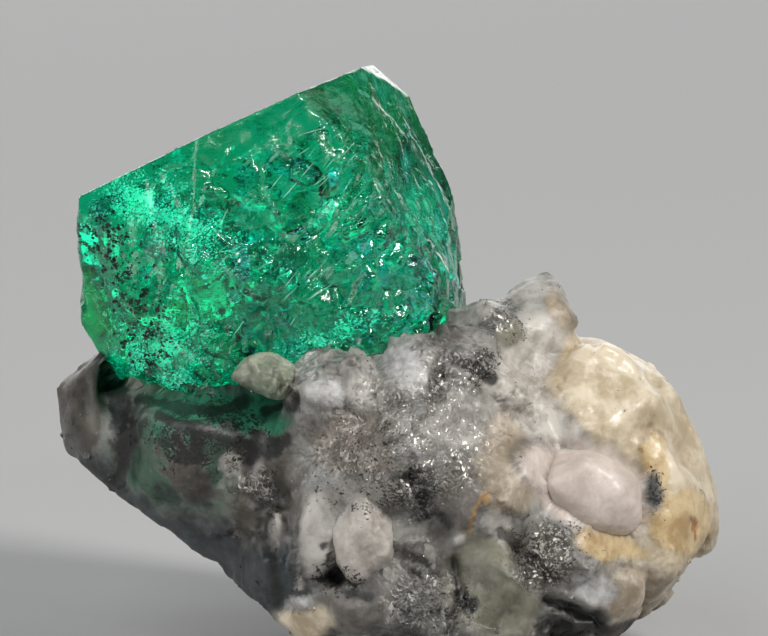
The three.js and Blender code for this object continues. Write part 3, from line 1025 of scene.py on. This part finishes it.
layout_rock = seen_from(TO_ROW, points_of(rock))
stone_zones = {**rock_zones(layout_rock), "dark_seam_and_shade": seams(layout_rock)[1]}
seat = under_crystal(rock)
for stone in (*STONE_COLOURS, "specks", "mica", "dark_seam_and_shade", "edge"):
    stone_zones[stone] = stone_zones[stone] * (1 - seat)
stone_zones["chalk"] = stone_zones["chalk"] + seat
mark_zones(rock, stone_zones)
print("rock points under the crystal:", int(seat.sum()))
print("rock faces:", len(rock.data.polygons))

# %% [markdown]
# ## The single grains
# Three grains show an edge all round, so each is a piece: a smooth pinkish one, an oval grey one, and a
# pale green blocky one at the crystal's foot. They are shaped like the rock, but calmer.

# %% Shape the grains
GRAIN_VOXEL = 0.09
OVAL_STONE = ((0.3, 0.27, 0.24), (0.56, 0.52, 0.47))
BERYL_STONE = ((0.1, 0.12, 0.085), (0.34, 0.37, 0.28))


def shape_grain(node, name, smoothing, swell, rough, seed, stone):
    """Shapes a fine copy of a grain. swell is in millimetres, and rough runs from 0 to 1."""
    piece = fine_copy(node, name, GRAIN_VOXEL, smoothing)
    row = points_of(piece)
    push = normals_of(piece)
    layout = seen_from(TO_ROW, row)
    height = swell + 0.25 * rough * wave(layout, 1.4, 2, seed)
    height = height + 0.04 * rough * wave(layout, 0.4, 2, seed + 1)
    height += chips(layout, 0.8, 0.12 * rough, 0.05 * rough, seed + 2)
    set_points(piece, row + push * height[:, None] * MM)
    layout = seen_from(TO_ROW, points_of(piece))
    none = np.zeros(len(layout))
    mark_zones(piece, {**rock_zones(layout), "dark_seam_and_shade": none, "edge": none}, stone, 0.2)
    return piece


smooth_grain = shape_grain("smooth_quartz_grain", "smooth_grain", 70, 0.22, 0.08, 71, STONE_COLOURS["pink"])
oval_grain = shape_grain("oval_quartz_grain", "oval_grain", 25, 0.16, 0.3, 74, OVAL_STONE)
beryl_grain = shape_grain("pale_green_beryl_grain", "beryl_grain", 8, 0.05, 0.8, 77, BERYL_STONE)

# %% [markdown]
# ## Mica and crumbs on the rock
# The glitter of the rock comes from mica: silvery plates a tenth of a millimetre wide, and black ones of
# biotite. They are strewn thickest where the patches say so, each leaning its own way and a little sunk in
# the quartz. Small angular crumbs of quartz lie among them.

# %% Strew over the rock
def strew(piece, weight_of, count, seed):
    """Places and directions on a piece's faces, as many as count, thickest where weight_of is high."""
    dice = np.random.default_rng(seed)
    piece.data.calc_loop_triangles()
    corners = np.array([t.vertices[:] for t in piece.data.loop_triangles])
    row = points_of(piece)
    a, b, c = (row[corners[:, k]] for k in range(3))
    cross = np.cross(b - a, c - a)
    area = np.linalg.norm(cross, axis=1)
    weight = area * weight_of[corners].mean(1)
    pick = dice.choice(len(corners), count, p=weight / weight.sum())
    s, t = dice.random(count), dice.random(count)
    over = s + t > 1
    s[over], t[over] = 1 - s[over], 1 - t[over]
    place = a[pick] + (b[pick] - a[pick]) * s[:, None] + (c[pick] - a[pick]) * t[:, None]
    return place, cross[pick] / area[pick][:, None]


def off_base(piece):
    return fade(points_of(piece)[:, 2] / MM, 0.3, 0.8)


def strewn_plates(name, weight, count, small, large, lean, sink, seed):
    dice = np.random.default_rng(seed + 1)
    place, out = strew(rock, weight, count, seed)
    sizes = small + (large - small) * dice.random(count) ** 2.2
    normals = out + dice.normal(0, lean, (count, 3))
    place = place - out * (sizes * sink * MM)[:, None]
    return plates(name, place, normals, sizes, 0.02, seed + 2)


mica_weight = (0.04 + zone_of(rock, "mica") ** 1.5) * (1 - 0.9 * zone_of(rock, "waxy")) * off_base(rock)
silver_mica = strewn_plates("silver_mica", mica_weight, 4200, 0.04, 0.15, 0.45, 0.12, 81)
speck_weight = (0.012 + zone_of(rock, "specks") ** 2 + 0.8 * zone_of(rock, "dark_seam_and_shade") ** 2) * off_base(rock)
dark_mica = strewn_plates("dark_mica", speck_weight, 2400, 0.04, 0.22, 0.4, 0.12, 84)


def crumbs(name, weight, count, small, large, seed):
    """One mesh of small angular grains, each an eight-cornered block with its corners pushed about."""
    dice = np.random.default_rng(seed)
    place, out = strew(rock, weight, count, seed + 1)
    cube = np.array([[x, y, z] for x in (-1, 1) for y in (-1, 1) for z in (-1, 1)], float)
    faces = [[0, 1, 3, 2], [4, 6, 7, 5], [0, 4, 5, 1], [2, 3, 7, 6], [0, 2, 6, 4], [1, 5, 7, 3]]
    sizes = small + (large - small) * dice.random(count) ** 2.5
    points = []
    for k in range(count):
        turn = np.linalg.qr(dice.normal(size=(3, 3)))[0]
        if np.linalg.det(turn) < 0:
            turn[:, 0] *= -1
        block = cube * dice.uniform(0.55, 1.0, 3) + dice.normal(0, 0.16, (8, 3))
        points.append(place[k] + (block @ turn.T) * 0.5 * sizes[k] * MM - out[k] * 0.2 * sizes[k] * MM)
    joined = [[8 * k + v for v in f] for k in range(count) for f in faces]
    piece = mesh_piece(name, np.concatenate(points), joined)
    print(name, "grains:", count)
    return piece


crumb_weight = (1 - 0.92 * zone_of(rock, "waxy")) * off_base(rock)
quartz_crumbs = crumbs("quartz_crumbs", crumb_weight, 700, 0.1, 0.4, 91)
layout_crumbs = seen_from(TO_ROW, points_of(quartz_crumbs))
mark_zones(quartz_crumbs, {**rock_zones(layout_crumbs), "dark_seam_and_shade": seams(layout_crumbs)[1]})

# %% [markdown]
# ## The emerald's finish
# Clear beryl lets light through and keeps some of it: the deeper the path, the greener it comes out. That
# is volume absorption, set once for the whole crystal. The skin is glassy, with fine etching and ribs. The
# smoke plates have a faint green emission: painted light for the light that feathers in a real crystal pass
# on.

# %% Emerald finish
def emerald_finish():
    f = Finish("emerald_green")
    etched = f.cloud(1.6, 4.0, 0.6).between(0.4, 0.7)
    fine = f.cloud(0.28, 3.0, 0.6, 0.4)
    ripple = f.cloud(1.4, 3.0, 0.55, 1.2)
    place = {"Vector": f.bent, "Rotation": (0.0, math.radians(-32), 0.0), "Scale": (0.22, 0.6, 1.6)}
    turned = f.node("ShaderNodeMapping", {}, place)
    pattern = {"Vector": turned, "Scale": 1000.0 / 0.5, "Detail": 3.0, "Roughness": 0.6}
    ribs = f.node("ShaderNodeTexNoise", {}, pattern)
    relief = f.bump(fine * 0.35 + ripple * 0.35 + ribs.between(0.45, 0.75) * 0.4, 0.04)
    inside = f.node("ShaderNodeVolumeAbsorption", {}, {"Color": (0.0, 0.965, 0.9, 1.0), "Density": 850.0})
    skin = f.principled({
        "Base Color": (1.0, 1.0, 1.0, 1.0),
        "Roughness": etched * 0.16 + 0.04,
        "IOR": 1.58,
        "Transmission Weight": 1.0,
        "Normal": relief,
    })
    return f.close(skin, inside)


def veil_finish(name, painted_glow):
    f = Finish(name)
    pale = f.blend(f.cloud(1.0, 2.0).between(0.35, 0.7), (0.25, 0.92, 0.7), (0.8, 1.0, 0.95))
    return f.close(f.principled({
        "Base Color": pale,
        "Roughness": 0.35,
        "IOR": 1.15,
        "Transmission Weight": 0.5,
        # painted light: a green emission, faint on the smoke plates and off on the veils
        "Emission Color": (0.04, 0.72, 0.46, 1.0),
        "Emission Strength": painted_glow,
    }))


def biotite_finish():
    f = Finish("biotite")
    tone = f.blend(f.cells(0.15), (0.003, 0.003, 0.003), (0.02, 0.018, 0.014))
    return f.close(f.principled({"Base Color": tone, "Roughness": 0.55, "IOR": 1.4}))


def mica_finish():
    f = Finish("muscovite")
    tone = f.blend(f.cells(0.3), (0.5, 0.44, 0.36), (0.82, 0.81, 0.79))
    return f.close(f.principled({"Base Color": tone, "Roughness": 0.22, "Metallic": 0.55, "IOR": 1.6}))


# %% [markdown]
# ## The quartz finish
# One finish covers the whole rock, and the colours and patches marked on the mesh steer it. Quartz is
# cloudy, so light goes a little way in and comes out again nearby: subsurface scattering with a reach of
# about half a millimetre.

# %% Quartz finish
def quartz_finish(name, reach):
    f = Finish(name)
    broad = f.cloud(2.2, 3.0, 0.6, 0.5)
    fine = f.cloud(0.45, 4.0, 0.65, 0.6)
    dust = f.cloud(0.13, 2.0, 0.6)
    grain = f.cells(1.1) * 1.0  # the product turns the cell's colour into one number
    waxy = f.zone("waxy")
    patchy = broad * (waxy * 0.3 + 0.4) + fine * (0.4 - waxy * 0.13) + grain * (0.2 - waxy * 0.17)
    depth = patchy.between(0.36, 0.62)
    colour = f.blend(depth, f.zone("stone_deep", "Color"), f.zone("stone_pale", "Color"))
    mica = (f.zone("mica") + (fine - 0.5) * 0.6).between(0.3, 0.9)
    flakes = f.cells(0.12) * 1.0
    colour = f.blend(f.zone("edge") * fine.between(0.35, 0.6) * 0.5, colour, (0.035, 0.034, 0.03))
    colour = f.blend(mica * flakes.between(0.48, 0.6) * 0.4, colour, (0.09, 0.086, 0.08))
    black = (f.zone("specks") * 0.5 + (dust - 0.5) * 1.0 + (fine - 0.5) * 1.0).between(0.34, 0.44)
    colour = f.blend(black * 0.95, colour, (0.008, 0.008, 0.008))
    # the seams are darkened: dark joints, and painted shade in the clefts and gaps
    colour = f.blend(f.zone("dark_seam_and_shade").between(0.2, 0.8) * 0.9, colour, (0.012, 0.013, 0.012))
    foil = mica * flakes.between(0.57, 0.62)
    rough = 0.46 - f.zone("wet") * 0.06 + (fine - 0.5) * 0.3 - foil * 0.15
    relief = f.bump(fine * (0.6 - waxy * 0.35) + dust * (0.3 - waxy * 0.2), 0.08, 0.7)
    shine = f.glints(0.16, 0.3 - waxy * 0.2 + f.zone("mica") * 0.4, relief)
    return f.close(f.principled({
        "Base Color": f.blend(foil * 0.5, colour, (0.5, 0.47, 0.42)),
        "Roughness": rough,
        "Metallic": foil * 0.5,
        "IOR": 1.54,
        "Coat Weight": f.zone("wet") * fine.between(0.4, 0.65) * 0.22,
        "Coat Roughness": 0.15,
        "Subsurface Weight": 0.35,
        "Subsurface Radius": (1.0, 0.85, 0.7),
        "Subsurface Scale": reach * MM,
        "Normal": shine,
    }))


def give(piece, finish, slot_name, *nodes):
    """The piece gets its finish, rides with the specimen, and stands for these frame nodes."""
    piece.data.materials.clear()
    piece.data.materials.append(finish)
    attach(piece, "root")
    if nodes:
        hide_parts(*nodes)


give(emerald, emerald_finish(), "emerald", "emerald_crystal")
veil = veil_finish("emerald_veil", 0.0)
give(veils, veil, "emerald")
# the smoke plates get painted light: a faint green emission
give(smoke, veil_finish("emerald_smoke_painted_glow", 0.36), "emerald")
give(slivers, veil, "emerald")
biotite = biotite_finish()
give(emerald_flecks, biotite, "quartz_rock")
give(dark_mica, biotite, "quartz_rock")
give(silver_mica, mica_finish(), "quartz_rock")
rock_finish = quartz_finish("quartz_rock", 0.4)
give(rock, rock_finish, "quartz_rock", "matrix_rock")
give(quartz_crumbs, rock_finish, "quartz_rock")
give(smooth_grain, quartz_finish("pink_quartz", 0.6), "smooth_quartz", "smooth_quartz_grain")
give(oval_grain, quartz_finish("pearl_quartz", 0.5), "grey_quartz", "oval_quartz_grain")
give(beryl_grain, quartz_finish("pale_beryl", 0.6), "pale_beryl", "pale_green_beryl_grain")

# %% [markdown]
# ## Floor, light and camera
# A plain pale floor, a soft key light from the upper right front, a small weak one that makes the cleavage
# faces flash, two wide ones from the left front, one from the right, and a large low one from behind that
# goes through the crystal. The camera has a long lens, looks ten degrees down, and sees the specimen square
# to its show side.

# %% Floor
bpy.ops.object.select_all(action="DESELECT")
bpy.ops.mesh.primitive_circle_add(vertices=96, radius=4.0, fill_type="NGON", location=(0, 0, -0.00002))
floor = bpy.context.active_object
floor.name = "floor"
floor_finish = Finish("pale_floor")
floor_finish.close(floor_finish.principled({"Base Color": (0.42, 0.42, 0.42, 1.0), "Roughness": 0.9}))
floor.data.materials.append(floor_finish.material)


# %% Lights
def soft_light(name, direction, distance, size, power, colour=(1, 1, 1)):
    lamp = bpy.data.lights.new(name, "AREA")
    lamp.shape = "DISK"
    lamp.size = size
    lamp.energy = power
    lamp.color = colour
    holder = bpy.data.objects.new(name, lamp)
    bpy.context.scene.collection.objects.link(holder)
    aim = Vector((0, 0, 0.014))
    holder.location = aim + Vector(direction).normalized() * distance
    holder.rotation_euler = (-Vector(direction)).to_track_quat("-Z", "Y").to_euler()


soft_light("key", (0.66, -0.56, 0.82), 0.45, 0.11, 1.4, (1.0, 0.98, 0.95))
soft_light("sparkle", (0.3, -0.85, 0.6), 0.5, 0.03, 0.1)
soft_light("left_front", (-0.6, -0.6, 0.8), 0.5, 0.5, 1.1)
soft_light("fill", (-0.8, -0.7, 0.3), 0.6, 0.4, 0.8)
soft_light("side", (0.9, 0.2, 0.4), 0.5, 0.5, 0.5)
soft_light("through", (-0.22, 0.9, 0.2), 0.5, 0.8, 2.9)

world = bpy.data.worlds.new("studio")
world.use_nodes = True
sky = world.node_tree.nodes["Background"]
sky.inputs["Color"].default_value = (0.8, 0.82, 0.85, 1.0)
sky.inputs["Strength"].default_value = 0.07
bpy.context.scene.world = world
bpy.context.scene.view_settings.view_transform = "Standard"

# %% Camera
AWAY = 400.0  # millimetres from the show side
camera = bpy.data.objects.new("camera", bpy.data.cameras.new("camera"))
bpy.context.scene.collection.objects.link(camera)
camera.data.sensor_width = 36.0
camera.data.lens = 375.0
camera.data.clip_start = 0.01
camera.data.clip_end = 20.0
look = TO_ROW.to_3x3().normalized()
aim = (look @ Matrix.Rotation(math.radians(90), 3, "X")).to_4x4()
camera.matrix_world = Matrix.Translation(TO_ROW @ Vector((-0.8, -AWAY, 15.9))) @ aim
bpy.context.scene.camera = camera

# %% [markdown]
# ## The frame's size
# The looks must fit the frame, so the frame's box is printed.

# %% Print the frame's box
print("cad box, mm:", [[round(v * 1000, 2) for v in c] for c in CAD_BOX])
